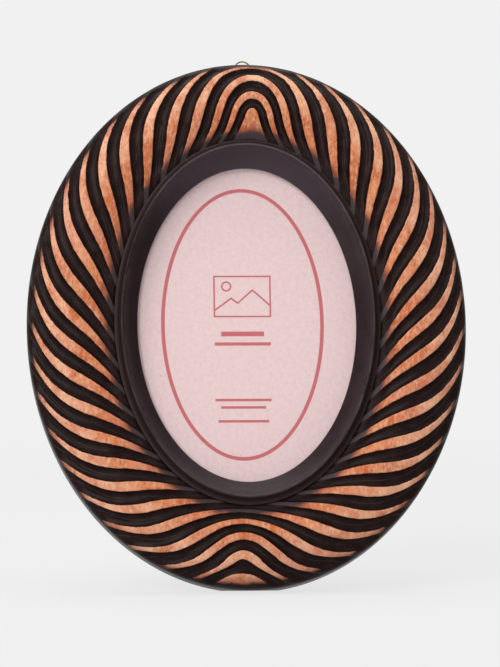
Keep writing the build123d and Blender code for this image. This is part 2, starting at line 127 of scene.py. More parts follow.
for node in ("carved_frame", "sight_liner", "glass_pane", "photo_card"):
    print(node, "on the bench, mm:", *(np.round(corner / MM, 2) for corner in bench_box(node)))

# %% [markdown]
# ## The uncarved ring
# Before any groove is cut, the ring is a moulding bent round an oval. From the slip outwards it rises
# gently to a crest and then falls away in a rounded shoulder to the side. Every line along the moulding
# is an ellipse, so the whole face is a function of two numbers: the angle round the oval, clockwise from
# the top, and the run across the moulding, from 0 at the slip to 1 at the side.

# %% Sizes of the ring
ring_high = bench_box("carved_frame")[1]
outer_oval, crest_level = ring_high[:2], ring_high[2]
liner_low, liner_high = bench_box("sight_liner")
slip_oval = liner_high[:2]
SEAT_CLEARANCE = 0.15 * MM
seat_oval = slip_oval + SEAT_CLEARANCE
SIDE_LEVEL = 10.0 * MM
VALLEY_LEVEL = 19.5 * MM
SHOULDER_WIDTH = 25.0 * MM
CREST_RUN = 0.46
crest_oval = outer_oval - SHOULDER_WIDTH


def moulding(run):
    """The moulding's profile: half axes and level of the ellipse at each run.

    Inside the crest both half axes grow in proportion and the level follows a quarter of a sine.
    Outside it the level follows a quarter of an ellipse down to the side.
    """
    inside = run < CREST_RUN
    climb = np.clip(run / CREST_RUN, 0, 1)
    inset = SHOULDER_WIDTH * np.clip((1 - run) / (1 - CREST_RUN), 0, 1)
    climbing_oval = seat_oval + (crest_oval - seat_oval) * climb[..., None]
    oval = np.where(inside[..., None], climbing_oval, outer_oval - inset[..., None])
    rise = VALLEY_LEVEL + (crest_level - VALLEY_LEVEL) * np.sin(np.pi / 2 * climb)
    left_to_fall = np.sqrt(np.clip(1 - (1 - inset / SHOULDER_WIDTH) ** 2, 0, 1))
    fall = SIDE_LEVEL + (crest_level - SIDE_LEVEL) * left_to_fall
    return oval, np.where(inside, rise, fall)


def ring_points(angle, run):
    """Bench points of the uncarved face: each ellipse's own point at the angle, at its level."""
    oval, level = moulding(run)
    turn = np.radians(angle)
    return np.stack([oval[..., 0] * np.sin(turn), oval[..., 1] * np.cos(turn), level], -1)


print("outer half axes, mm:", np.round(outer_oval / MM, 2), "crest, mm:", round(crest_level / MM, 2))

# %% [markdown]
# ## Where the ridges run
# Twenty-three ridges climb each side, from a finger of bare wood at the top to another at the bottom.
# Each one starts at the slip and sweeps up and outwards, so that the two sides meet as arches over the
# top and as bowls at the bottom. One number says it all: the ridge number. It counts ridges along the
# oval from the top, and a whole number is the middle line of a ridge. The distance from the carver's
# centre line, the sweep across the moulding and the pitch of the ridges are added up as a carver would
# mark them out; the marks drift a little from side to side because the hand is not a machine.

# %% Mark out the pitch and the sweep
LAST_RIDGE = 23
FIRST_MARK = 1.05
PITCH_PLACES = (0.0, 15.0, 45.0, 95.0, 150.0, 180.0)
PITCHES = (6.30, 10.39, 9.47, 8.07, 8.53, 9.79)
MARKS_FROM, MARKS_TO, MARKS_PER_DEGREE = -60, 250, 4
marks = np.linspace(MARKS_FROM, MARKS_TO, (MARKS_TO - MARKS_FROM) * MARKS_PER_DEGREE + 1)
ridges_per_degree = 1 / np.interp(marks, PITCH_PLACES, PITCHES)
ridges_between = (ridges_per_degree[1:] + ridges_per_degree[:-1]) / 2 * np.diff(marks)
ridge_count = np.concatenate([[0], np.cumsum(ridges_between)])
ridge_count -= np.interp(0, marks, ridge_count)
MIDDLE_RUN = 0.5
SWEEP = (18.58, 5.97, 50.0)


def sweep_across(run):
    """How far round the oval a ridge has swept at each run, in degrees: a cubic from the middle run."""
    x = run - MIDDLE_RUN
    return SWEEP[0] * x + SWEEP[1] * x ** 2 + SWEEP[2] * x ** 3


def smooth_step(start, end, value):
    """A smooth ramp from 0 at start to 1 at end: three times the square of the share less twice its cube."""
    share = np.clip((value - start) / (end - start), 0, 1)
    return share * share * (3 - 2 * share)


print("pitches from top to bottom:", round(float(np.interp(180, marks, ridge_count)), 2))
print("sweep from slip to side, degrees:", round(sweep_across(1.0) - sweep_across(0.0), 2))

# %% [markdown]
# ## Number the ridges
# Two straight families of lines would meet at a point over the top. A carver rounds them off, and so
# does the square root of the sum of two squares. At the bottom edge the last bowls are bell shaped, and
# at the top edge the arches crowd together; both fade in over a short stretch of the run.

# %% Count the ridges
CENTRE_LINE = 2.36
ARCH_ROUNDING, ARCH_ROUNDING_GROWTH, LEAST_ARCH_ROUNDING = 3.84, 19.9, 0.2
BOWL_ROUNDING, BOWL_ROUNDING_GROWTH, LEAST_BOWL_ROUNDING = 5.29, -19.3, 2.0
ARCH_WIDTH, ARCH_SWEEP, ARCH_DROP = 14.7, -0.547, -5.66
BOWL_WIDTH, BOWL_SWEEP, BOWL_DROP = 10.1, 0.283, 3.73
ARCH_CROWD, CROWD_START, CROWD_FULL = 0.29, 0.82, 0.92
BOWL_BELL, BELL_RUNS = 2.0, (0.6, 0.85)
BOWL_RAISE, RAISE_RUNS = 3.4, (0.78, 0.94)
HAND_DRIFT = (0.122, -0.073, -0.017)


def ridge_number(angle, run):
    """Ridge number at a place on the face; whole numbers are the middle lines of ridges.

    The distance from the centre line, rounded off where the two sides meet, plus the sweep across
    the moulding gives a mark in degrees. The number of pitches up to that mark, with a slow drift
    round the ring, is the ridge number. It stops at the first and last ridge, which are open fingers.
    """
    turned = (angle - CENTRE_LINE + 180) % 360 - 180
    from_top = np.abs(turned)
    from_bottom = 180 - from_top
    x = run - MIDDLE_RUN
    arch_round = np.maximum(ARCH_ROUNDING + ARCH_ROUNDING_GROWTH * x, LEAST_ARCH_ROUNDING)
    bowl_round = np.maximum(BOWL_ROUNDING + BOWL_ROUNDING_GROWTH * x, LEAST_BOWL_ROUNDING)
    bowl_round = bowl_round + BOWL_BELL * smooth_step(*BELL_RUNS, run)
    rounded = np.hypot(from_top, arch_round) - (np.hypot(from_bottom, bowl_round) - from_bottom)
    near_arch = np.exp(-(from_top / ARCH_WIDTH) ** 2)
    near_bowl = np.exp(-(from_bottom / BOWL_WIDTH) ** 2)
    mark = rounded + sweep_across(run) * (1 + ARCH_SWEEP * near_arch + BOWL_SWEEP * near_bowl)
    mark = mark + ARCH_DROP * near_arch + BOWL_DROP * near_bowl
    mark = mark + BOWL_RAISE * smooth_step(*RAISE_RUNS, run) * near_bowl ** 3
    drift = sum(share * np.sin(np.radians((n + 1) * turned)) for n, share in enumerate(HAND_DRIFT))
    crowd = ARCH_CROWD * np.clip((run - CROWD_START) / (CROWD_FULL - CROWD_START), 0, 1) * near_arch
    return np.clip(FIRST_MARK + np.interp(mark, marks, ridge_count) + drift + crowd, 0, LAST_RIDGE)


RIDGE_SHARE = (0.397, -0.098, -0.731)


def beyond_edge(angle, run):
    """How far a place lies beyond the edge of its nearest ridge, in pitches: below zero is bare wood.

    It is the distance to the nearest whole ridge number, less half the share of the pitch that the
    ridge takes up, which is widest in the middle of the moulding.
    """
    number = ridge_number(angle, run)
    x = run - MIDDLE_RUN
    half_ridge = (RIDGE_SHARE[0] + RIDGE_SHARE[1] * x + RIDGE_SHARE[2] * x ** 2) / 2
    return np.abs(number - np.round(number)) - half_ridge, half_ridge


probe = np.linspace(0, 180, 3601)
on_ridge = beyond_edge(probe, np.full_like(probe, MIDDLE_RUN))[0] < 0
print("ridges crossed down the right side:", int((np.diff(on_ridge.astype(int)) == 1).sum()))

# %% [markdown]
# ## Cut the grooves
# A gouge leaves a groove with steep walls and a round floor. The grid of the face is sheared so that its
# lines follow the ridges away from the top and the bottom, which keeps the edges of the cuts crisp.
# Each point of the face then moves straight back into the wood by the depth of the groove there. The
# grooves run out before they reach the slip and the side. Bump in the finish could fake the grooves, but
# it would leave a smooth outline and cast no shadow.

# %% Carve the face
RING_COLUMNS, CLIMB_ROWS, SHOULDER_ROWS = 1024, 36, 48
GROOVE_DEPTH = 2.4 * MM
GROOVE_STEEPNESS = 3.0
SHEAR_WIDTH = 0.38
RUN_OUT_INSIDE, RUN_OUT_SIDE = (0.02, 0.16), (1.0, 0.93)


def sheared_angle(column_angle, run):
    """Angle of a grid line at a run: it follows the sweep of the ridges except near the centre line."""
    sideways = np.sin(np.radians(column_angle - CENTRE_LINE))
    return column_angle - sweep_across(run) * np.tanh(sideways / SHEAR_WIDTH)


def groove_depth(angle, run):
    """Depth of the cut: none on a ridge, then one minus a power of the share left to its middle."""
    beyond, half_ridge = beyond_edge(angle, run)
    share = np.clip(beyond / (0.5 - half_ridge), 0, 1)
    fade = smooth_step(*RUN_OUT_INSIDE, run) * smooth_step(*RUN_OUT_SIDE, run)
    return GROOVE_DEPTH * fade * (1 - (1 - share) ** GROOVE_STEEPNESS)


climb_runs = np.linspace(0, CREST_RUN, CLIMB_ROWS, endpoint=False)
shoulder_runs = CREST_RUN + (1 - CREST_RUN) * np.sin(np.linspace(0, np.pi / 2, SHOULDER_ROWS))
columns = np.arange(RING_COLUMNS) * 360 / RING_COLUMNS
column_grid, run_grid = np.meshgrid(columns, np.concatenate([climb_runs, shoulder_runs]))
angle_grid = sheared_angle(column_grid, run_grid)
face = ring_points(angle_grid, run_grid)
lengthwise = np.roll(face, -1, 1) - np.roll(face, 1, 1)
crosswise = np.gradient(face, axis=0)
face_normal = np.cross(crosswise, lengthwise)
face_normal /= np.linalg.norm(face_normal, axis=-1, keepdims=True)
face_normal *= np.where(face_normal[..., 2:] < 0, -1, 1)
cut = groove_depth(angle_grid, run_grid)
face = face - face_normal * cut[..., None]
print("face rows and columns:", face.shape[:2], "deepest cut, mm:", round(cut.max() / MM, 2))

# %% [markdown]
# ## Close the ring
# The rest of the ring is plain: its side, its chamfered back, the rabbet that holds glass and boards, and
# the seat of the slip. Each line round it is an ellipse, so a short list of half axes and levels gives
# them all. A pair of close lines at every corner keeps its edge slightly round.

# %% Outline the back
EDGE_ROUND = 0.2 * MM
BACK_CHAMFER = 1.5 * MM
RABBET_CLEARANCE = 0.8 * MM
CARD_TRIM = 0.4 * MM
glass_low, glass_high = bench_box("glass_pane")
rabbet_oval = bench_box("photo_card")[1][:2] + CARD_TRIM + RABBET_CLEARANCE
ledge_level = glass_high[2]
back_outline = [
    (outer_oval, BACK_CHAMFER + EDGE_ROUND),
    (outer_oval - EDGE_ROUND, BACK_CHAMFER - EDGE_ROUND),
    (outer_oval - BACK_CHAMFER + EDGE_ROUND, EDGE_ROUND),
    (outer_oval - BACK_CHAMFER - EDGE_ROUND, 0.0),
    (rabbet_oval + EDGE_ROUND, 0.0),
    (rabbet_oval, EDGE_ROUND),
    (rabbet_oval, ledge_level - EDGE_ROUND),
    (rabbet_oval + EDGE_ROUND, ledge_level),
    (seat_oval - EDGE_ROUND, ledge_level),
    (seat_oval, ledge_level + EDGE_ROUND),
    (seat_oval, VALLEY_LEVEL - EDGE_ROUND),
]


def oval_rows(outline, angle):
    """One row of bench points for each (half axes, level) of an outline, at the given angles."""
    half_axes = np.array([oval for oval, _ in outline])
    levels = np.array([level for _, level in outline])
    turn = np.radians(angle)[None, :]
    across_row, up_row = half_axes[:, :1] * np.sin(turn), half_axes[:, 1:] * np.cos(turn)
    return np.stack([across_row, up_row, np.broadcast_to(levels[:, None], across_row.shape)], -1)


back_rows = oval_rows(back_outline, angle_grid[-1])
print("rows behind the face:", len(back_rows))

# %% [markdown]
# ## From rows to a shell
# A ring is a grid whose rows and columns both run round to their start, like the skin of a tyre. Numbers
# that the finish needs later, the ridge number and the run, go into the mesh as attributes, one for
# each point. The seat and the rabbet count as run 0 and the back as a run beyond the side, so the paint
# covers both.

# %% Build the carved ring
BACK_RUN, SEAT_ROWS = 2.0, 4


def shell_mesh(name, rows, attributes):
    """A closed shell from a grid of bench points whose rows and columns both run round to the start.

    Each face joins a point, the next row, the point beyond both, and the next column. Points below
    the table are raised to it, which leaves the small flat that the frame stands on.
    """
    points = to_table(rows.reshape(-1, 3))
    points[:, 2] = np.maximum(points[:, 2], 0.0)
    row_count, column_count = rows.shape[:2]
    corner = np.arange(row_count * column_count).reshape(row_count, column_count)
    next_row, next_column = np.roll(corner, -1, 0), np.roll(corner, -1, 1)
    beyond_both = np.roll(next_row, -1, 1)
    faces = np.stack([corner, next_row, beyond_both, next_column], -1).reshape(-1, 4)
    mesh = bpy.data.meshes.new(name)
    mesh.from_pydata(points, [], faces)
    mesh.shade_smooth()
    for attribute, values in attributes.items():
        layer = mesh.attributes.new(attribute, "FLOAT", "POINT")
        layer.data.foreach_set("value", np.ascontiguousarray(values, np.float32).ravel())
    piece = bpy.data.objects.new(name, mesh)
    bpy.context.scene.collection.objects.link(piece)
    print(name, "triangles:", 2 * len(faces))
    return piece


back_run = np.full(back_rows.shape[:2], BACK_RUN)
back_run[-SEAT_ROWS:] = 0.0
back_numbers = np.broadcast_to(ridge_number(angle_grid[-1], run_grid[-1]), back_run.shape)
carved_ring = shell_mesh("carved_ring", np.concatenate([face, back_rows]), {
    "ridge_number": np.concatenate([ridge_number(angle_grid, run_grid), back_numbers]),
    "run": np.concatenate([run_grid, back_run]),
})
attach(carved_ring, "frame")
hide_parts("carved_frame")

# %% [markdown]
# ## The slip
# A slip is the narrow inner frame that meets the picture. This one is a turned-looking moulding: a thin
# edge at the glass, a hollow cove that climbs to a narrow lip, and a steep wall down to the carved ring.
# It is a profile carried round the oval, so a list of ellipses describes it as well. The lip is a small
# round of its own, because a sharp corner would catch no light at all.

# %% Shape the slip's profile
COVE_ROWS, LIP_ROWS = 26, 8
SIGHT_EDGE = 1.6 * MM
LIP_LAND = 0.6 * MM
LIP_ROUND, LIP_TURN = 0.7 * MM, radians(55)
RIM_RUN = 3.8 * MM
COVE_RUN = np.array([8.7, 9.9]) * MM
COVE_HOLLOW = 0.55
slip_base, lip_level = liner_low[2], liner_high[2]
lip_oval = slip_oval - RIM_RUN
sight_oval = lip_oval - COVE_RUN


def cove(share):
    """The hollow from the sight edge to the lip: the level climbs slowly first and steeply at the end.

    It mixes a straight slope with a quarter of a circle, so the hollow is as deep as COVE_HOLLOW says.
    """
    hollow = 1 - np.sqrt(np.clip(1 - share ** 2, 0, 1))
    climb = share * (1 - COVE_HOLLOW) + hollow * COVE_HOLLOW
    return slip_base + SIGHT_EDGE + (lip_level - slip_base - SIGHT_EDGE) * climb


def lip(turn):
    """Half axes and level on the round of the lip: a point that has gone so far round its small circle."""
    return lip_oval + LIP_ROUND * np.sin(turn), lip_level - LIP_ROUND * (1 - np.cos(turn))


cove_shares = np.sin(np.linspace(0, np.pi / 2, COVE_ROWS))
slip_outline = [
    (sight_oval, slip_base + EDGE_ROUND),
    (sight_oval, slip_base + SIGHT_EDGE - EDGE_ROUND),
    *((sight_oval + (COVE_RUN - LIP_LAND) * share, cove(share)) for share in cove_shares),
    *(lip(turn) for turn in np.linspace(0, LIP_TURN, LIP_ROWS)),
    (slip_oval - EDGE_ROUND, VALLEY_LEVEL + EDGE_ROUND),
    (slip_oval, VALLEY_LEVEL - EDGE_ROUND),
    (slip_oval, slip_base + EDGE_ROUND),
    (slip_oval - EDGE_ROUND, slip_base),
    (sight_oval + EDGE_ROUND, slip_base),
]
print("lines round the slip:", len(slip_outline), "opening, mm:", np.round(2 * sight_oval / MM, 1))

# %% [markdown]
# ## Build the slip
# The same shell function that closed the ring carries this profile round. The paint will differ along
# the profile, so each line carries its place as a number: 0 at the sight edge, 1 where the lip begins,
# 2 where the wall begins and 3 below its foot.

# %% Carry the profile round
SLIP_COLUMNS = 512
cove_start = 2
lip_start = cove_start + COVE_ROWS
wall_start = lip_start + LIP_ROWS
known_lines = [cove_start, lip_start - 1, wall_start - 1, wall_start + 1]
slip_places = np.interp(np.arange(len(slip_outline)), known_lines, [0, 1, 2, 3])
slip_rows = oval_rows(slip_outline, np.arange(SLIP_COLUMNS) * 360 / SLIP_COLUMNS)
slip_profile = np.broadcast_to(slip_places[:, None], slip_rows.shape[:2])
slip = shell_mesh("slip", slip_rows, {"profile": slip_profile})
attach(slip, "frame")
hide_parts("sight_liner")

# %% [markdown]
# ## How finishes are mixed
# A finish is a small graph of nodes. It could be drawn by hand in the shader editor, but written out it
# can be read from top to bottom. A small class keeps that short: it adds nodes to one material, fills or
# links their inputs, and wraps the nodes that every finish here uses. All patterns read Object
# coordinates, turned by the lean so that the grain runs up the face, or the piece's own attributes.

# %% Make a kit for finishes
def srgb(red, green, blue):
    """A colour as seen on a screen, 0 to 255, turned into the linear numbers that a shader takes."""
    share = np.array([red, green, blue]) / 255
    linear = np.where(share <= 0.04045, share / 12.92, ((share + 0.055) / 1.055) ** 2.4)
    return (*(float(part) for part in linear), 1.0)


class Finish:
    """A material and the graph of nodes that mixes it."""

    def __init__(self, name):
        """Starts the material with its Principled shader."""
        self.material = bpy.data.materials.new(name)
        self.material.use_nodes = True
        self.tree = self.material.node_tree
        self.shader = self.tree.nodes["Principled BSDF"]

    def put(self, node, inputs):
        """Sets a node's sockets, by name or place, to numbers and colours, or links outputs to them."""
        for socket, value in inputs.items():
            if isinstance(value, bpy.types.NodeSocket):
                self.tree.links.new(value, node.inputs[socket])
            else:
                node.inputs[socket].default_value = value

    def node(self, kind, inputs=None, **settings):
        """Adds a shader node with its settings and inputs."""
        node = self.tree.nodes.new("ShaderNode" + kind)
        for setting, value in settings.items():
            setattr(node, setting, value)
        self.put(node, inputs or {})
        return node

    def maths(self, operation, *values):
        """One step of arithmetic on numbers or outputs."""
        return self.node("Math", dict(enumerate(values)), operation=operation).outputs[0]

    def attribute(self, name):
        """A number that the mesh carries at each point."""
        return self.node("Attribute", attribute_name=name).outputs["Fac"]

    def spot(self):
        """Where a place stands, in metres: across, in depth and up from the table."""
        coordinates = self.node("TexCoord").outputs["Object"]
        return self.node("SeparateXYZ", {0: coordinates}).outputs

    def pattern(self, *repeats):
        """Object coordinates turned to the bench, with so many repeats to the metre on each axis."""
        coordinates = self.node("TexCoord").outputs["Object"]
        turned = self.node("Mapping", {"Vector": coordinates, "Rotation": (lean, 0, 0)}).outputs[0]
        return self.node("Mapping", {"Vector": turned, "Scale": repeats}).outputs[0]

    def noise(self, where, detail=3.0, roughness=0.55):
        """Soft random values from 0 to 1."""
        inputs = {"Vector": where, "Scale": 1.0, "Detail": detail, "Roughness": roughness}
        return self.node("TexNoise", inputs).outputs[0]

    def ramp(self, value, start, end, low=0.0, high=1.0):
        """A smooth ramp from low at start to high at end."""
        inputs = {"Value": value, "From Min": start, "From Max": end, "To Min": low, "To Max": high}
        return self.node("MapRange", inputs, interpolation_type="SMOOTHSTEP").outputs[0]

    def mix(self, share, first, second):
        """Mixes two colours, or outputs that carry colours."""
        return self.node("Mix", {0: share, 6: first, 7: second}, data_type="RGBA").outputs[2]

    def mix_numbers(self, share, first, second):
        """Mixes two numbers, or outputs that carry numbers."""
        return self.node("Mix", {0: share, 2: first, 3: second}).outputs[0]

    def fill(self, **values):
        """Fills sockets of the Principled shader; Base_Color stands for Base Color."""
        self.put(self.shader, {socket.replace("_", " "): value for socket, value in values.items()})

    def bump(self, height, distance):
        """Raises fine relief on the shader from a height pattern."""
        inputs = {"Height": height, "Distance": distance, "Strength": 1.0}
        self.fill(Normal=self.node("Bump", inputs).outputs[0])

    def show(self, share, first, second):
        """Shows a mix of two shaders instead of the Principled shader alone."""
        mixed = self.node("MixShader", {0: share, 1: first, 2: second}).outputs[0]
        self.put(self.tree.nodes["Material Output"], {"Surface": mixed})

    def coat(self, piece):
        """Puts the finish on a piece, in place of any other."""
        piece.data.materials.clear()
        piece.data.materials.append(self.material)
        print(self.material.name, "on", piece.name, "with", len(self.tree.nodes), "nodes")


print("middle grey on a screen is", round(srgb(128, 128, 128)[0], 3), "to a shader")

# %% [markdown]
# ## Carved wood and dark paint
# One finish covers the whole ring, because on the real one the paint and the bare wood are one surface.
# Painting a picture of the stripes would blur, so the ring carries two numbers instead: the ridge number
# and the run across the moulding. The shader works out from them how far each place lies past the edge
# of its ridge, so the line between wood and paint stays crisp at any size of picture.

# %% Tell ridges from grooves
KNIFE_WOBBLE, PAINT_EDGE = 0.015, 0.02
wood = Finish("carved_wood_and_paint")
ridge, run_across = wood.attribute("ridge_number"), wood.attribute("run")
from_ridge = wood.maths("PINGPONG", ridge, 0.5)
from_middle = wood.maths("SUBTRACT", run_across, MIDDLE_RUN)
ridge_slope = wood.maths("MULTIPLY_ADD", from_middle, RIDGE_SHARE[2] / 2, RIDGE_SHARE[1] / 2)
half_ridge_here = wood.maths("MULTIPLY_ADD", from_middle, ridge_slope, RIDGE_SHARE[0] / 2)
past_edge = wood.maths("SUBTRACT", from_ridge, half_ridge_here)
knife = wood.noise(wood.pattern(240, 240, 240), detail=2.0)
past_edge = wood.maths("ADD", past_edge, wood.ramp(knife, 0.2, 0.8, -KNIFE_WOBBLE, KNIFE_WOBBLE))
in_groove = wood.ramp(past_edge, 0.0, PAINT_EDGE)
print("steps from ridge number to paint line:", len(wood.tree.nodes))

# %% [markdown]
# ## Ends of the ridges
# The brush also covers the ends of the ridges, with an unsteady edge. It stopped nearer the slip towards
# the top, and came in further over the side at the upper left than at the lower left, and further again
# underneath. So the run is shifted a little by where a place stands before it is compared with the two
# lines where the brush stopped.

# %% Brush over the ends
INNER_RISE, OUTER_LEFT, UNDERNEATH = 0.048, 0.036, 0.026
INNER_WOBBLE, OUTER_WOBBLE = 0.03, 0.012
INNER_STOP, OUTER_STOP = (0.185, 0.105), (0.925, 0.965)
stood_x, _, stood_z = wood.spot()
brush = wood.noise(wood.pattern(110, 110, 110))
upward = wood.ramp(stood_z, 0.04, 0.11)
inner_run = wood.maths("MULTIPLY_ADD", upward, INNER_RISE, run_across)
inner_run = wood.maths("ADD", inner_run, wood.ramp(brush, 0.25, 0.75, -INNER_WOBBLE, INNER_WOBBLE))
leftward = wood.ramp(stood_x, 0.06, -0.06)
left_shift = wood.ramp(stood_z, 0.03, 0.2, -OUTER_LEFT, OUTER_LEFT)
outer_run = wood.maths("MULTIPLY_ADD", leftward, left_shift, run_across)
outer_run = wood.maths("ADD", outer_run, wood.ramp(stood_z, 0.024, 0.004, 0.0, UNDERNEATH))
outer_run = wood.maths("ADD", outer_run, wood.ramp(brush, 0.25, 0.75, -OUTER_WOBBLE, OUTER_WOBBLE))
at_slip, at_side = wood.ramp(inner_run, *INNER_STOP), wood.ramp(outer_run, *OUTER_STOP)
painted = wood.maths("MAXIMUM", in_groove, wood.maths("MAXIMUM", at_slip, at_side))
print("brush stops at runs:", INNER_STOP, OUTER_STOP)

# %% [markdown]
# ## Grain and pores
# Bare ridges are a warm orange hardwood with a fine upright grain, short brown pores and a slow change of
# tone. A painted sheen makes them paler on the shoulder, where the lamps catch the dome, and they are
# stained near the paint. Each of these is one noise at its own scale, stretched up the face, that blends in
# one colour.

# %% Mix the bare wood
WOOD_DEEP, WOOD_MIDDLE, WOOD_PALE = srgb(184, 96, 56), srgb(206, 129, 87), srgb(234, 190, 161)
WOOD_PINK, PORE_BROWN, STAIN_BROWN = srgb(200, 134, 112), srgb(137, 75, 45), srgb(134, 68, 54)
PORE_STRENGTH, STAIN_STRENGTH = 0.42, 0.6
grain = wood.noise(wood.pattern(560, 560, 300), detail=5.0, roughness=0.65)
figure = wood.noise(wood.pattern(120, 120, 90), detail=4.0, roughness=0.6)
blush = wood.noise(wood.pattern(34, 34, 34), detail=2.0)
pores = wood.ramp(wood.noise(wood.pattern(1500, 1500, 420), detail=2.0), 0.58, 0.68)
tone = wood.mix(wood.ramp(figure, 0.32, 0.68), WOOD_DEEP, WOOD_MIDDLE)
tone = wood.mix(wood.ramp(grain, 0.42, 0.8, 0.0, 0.7), tone, WOOD_PALE)
# Painted sheen: the shoulder of the dome is made paler, where the lamps catch it.
on_shoulder = wood.ramp(run_across, 0.35, 0.68)
shoulder_sheen = wood.maths("MULTIPLY", on_shoulder, wood.ramp(figure, 0.3, 0.7, 0.1, 0.6))
tone = wood.mix(shoulder_sheen, tone, WOOD_PALE)
tone = wood.mix(wood.ramp(blush, 0.45, 0.7, 0.0, 0.4), tone, WOOD_PINK)
tone = wood.mix(wood.maths("MULTIPLY", pores, PORE_STRENGTH), tone, PORE_BROWN)
stained = wood.maths("MAXIMUM", wood.ramp(inner_run, 0.25, 0.15), wood.ramp(outer_run, 0.86, 0.95))
tone = wood.mix(wood.maths("MULTIPLY", stained, STAIN_STRENGTH), tone, STAIN_BROWN)
print("wood nodes:", len(wood.tree.nodes))

# %% [markdown]
# ## Paint and gouge marks
# The paint is a brown black, with a paler grey painted highlight on the covered tips of the ridges,
# where they face the light. In the grooves the gouge left fine marks that run along the cut, and a thin
# raised line where two passes meet, which also carries a faint painted highlight. These marks come
# from noise that is stretched along the ridge number, so they bend with the groove. Away from the
# carving, on the side and the back, plain upright brush lines take their place.

# %% Mix the dark paint
PAINT_DEEP, PAINT_WORN = srgb(25, 12, 10), srgb(38, 24, 22)
# The tip grey is a painted highlight on the lit ridge tips; the pass-line colour is a painted highlight
# along the middle of each groove.
PAINT_TIP_HIGHLIGHT, PASS_LINE_HIGHLIGHT = srgb(68, 57, 58), srgb(80, 68, 64)
MARKS_ACROSS, MARKS_ALONG, PASS_HIGHLIGHT_STRENGTH = 26.0, 4.0, 0.3
along_groove = wood.node("CombineXYZ", {0: wood.maths("MULTIPLY", ridge, MARKS_ACROSS),
                                        1: wood.maths("MULTIPLY", run_across, MARKS_ALONG)})
gouge_marks = wood.noise(along_groove.outputs[0])
brush_lines = wood.noise(wood.pattern(1100, 1100, 60), detail=4.0)
on_face = wood.ramp(run_across, 1.1, 0.93)
marks_here = wood.mix_numbers(on_face, brush_lines, gouge_marks)
between_passes = wood.ramp(from_ridge, 0.455, 0.495)
pass_line = wood.maths("MULTIPLY", between_passes, wood.ramp(brush, 0.35, 0.6))
pass_line = wood.maths("MULTIPLY", pass_line, on_face)
cloudy = wood.noise(wood.pattern(150, 150, 150), detail=4.0)
paint = wood.mix(wood.ramp(cloudy, 0.35, 0.75), PAINT_DEEP, PAINT_WORN)
# Painted highlight: lighter grey on the ridge tips near the slip and along the line between two passes.
lit_tip_share = wood.maths("MULTIPLY", at_slip, wood.maths("SUBTRACT", 1.0, in_groove))
paint = wood.mix(lit_tip_share, paint, PAINT_TIP_HIGHLIGHT)
paint = wood.mix(wood.maths("MULTIPLY", pass_line, PASS_HIGHLIGHT_STRENGTH), paint, PASS_LINE_HIGHLIGHT)
print("wood and paint nodes:", len(wood.tree.nodes))

# %% [markdown]
# ## Finish the carved ring
# Wood and paint now meet in one shader. The lacquer on the wood is a soft satin, and the paint is a
# little smoother, with its gouge marks in the roughness as well as in the relief. Pores sink into the
# wood, and the line between two passes of the gouge stands up.

# %% Put wood and paint together
WOOD_SPECULAR = 0.07
WOOD_RELIEF, MARKS_SHARE = 0.12 * MM, 0.8
wood_rough = wood.ramp(grain, 0.2, 0.8, 0.44, 0.56)
paint_rough = wood.ramp(marks_here, 0.25, 0.75, 0.27, 0.4)
wood.fill(Base_Color=wood.mix(painted, tone, paint), Specular_IOR_Level=WOOD_SPECULAR,
          Roughness=wood.mix_numbers(painted, wood_rough, paint_rough))
gouge_relief = wood.maths("ADD", wood.maths("MULTIPLY", marks_here, MARKS_SHARE), pass_line)
bare_relief = wood.maths("SUBTRACT", grain, pores)
wood.bump(wood.mix_numbers(painted, bare_relief, gouge_relief), WOOD_RELIEF)
wood.coat(carved_ring)

# %% [markdown]
# ## The slip's satin paint
# The slip is painted charcoal with a brown cast. Painted shade makes it browner and darker down its
# left side, painted reflection and light make it greyer over the top and at the upper right, and a
# painted highlight makes it paler along the lower cove. It is smoother than the ring, with a fine speckle
# in its relief and painted grey glints on that speckle. Soft ramps over the height and the width of the
# frame make these slow changes, since no seam shows on the real slip.

# %% Mix the slip's paint
CHARCOAL_DEEP, CHARCOAL_PALE = srgb(34, 20, 23), srgb(45, 31, 35)
# The side colours below are painted light and shade: darker on the left, lighter over the top, at the upper
# right and along the lower cove; the speckle grey is painted glints.
LEFT_PAINTED_SHADE, TOP_PAINTED_REFLECTION, UPPER_RIGHT_PAINTED_LIGHT = srgb(26, 12, 9), srgb(82, 70, 78), srgb(84, 78, 78)
LOWER_COVE_PAINTED_HIGHLIGHT, SPECKLE_PAINTED_GLINT = srgb(98, 93, 97), srgb(84, 74, 74)
satin = Finish("satin_charcoal")
speckle = satin.noise(satin.pattern(1500, 1500, 1500), detail=2.0)
cloud = satin.noise(satin.pattern(90, 90, 90), detail=4.0)
slip_x, _, slip_z = satin.spot()
charcoal = satin.mix(satin.ramp(cloud, 0.3, 0.7), CHARCOAL_DEEP, CHARCOAL_PALE)
# Painted shade on the left, painted reflection over the top, painted light at the upper right, painted
# highlight on the lower cove and painted glints on the speckle.
charcoal = satin.mix(satin.ramp(slip_x, -0.04, -0.065, 0, 0.6), charcoal, LEFT_PAINTED_SHADE)
charcoal = satin.mix(satin.ramp(slip_z, 0.185, 0.225, 0, 0.5), charcoal, TOP_PAINTED_REFLECTION)
high_up = satin.ramp(slip_z, 0.145, 0.185, 0, 0.17)
upper_right_lit = satin.maths("MULTIPLY", satin.ramp(slip_x, 0.02, 0.06), high_up)
charcoal = satin.mix(upper_right_lit, charcoal, UPPER_RIGHT_PAINTED_LIGHT)
charcoal = satin.mix(satin.ramp(slip_z, 0.078, 0.055, 0, 0.14), charcoal, LOWER_COVE_PAINTED_HIGHLIGHT)
charcoal = satin.mix(satin.ramp(speckle, 0.6, 0.8, 0, 0.3), charcoal, SPECKLE_PAINTED_GLINT)
print("satin nodes:", len(satin.tree.nodes))
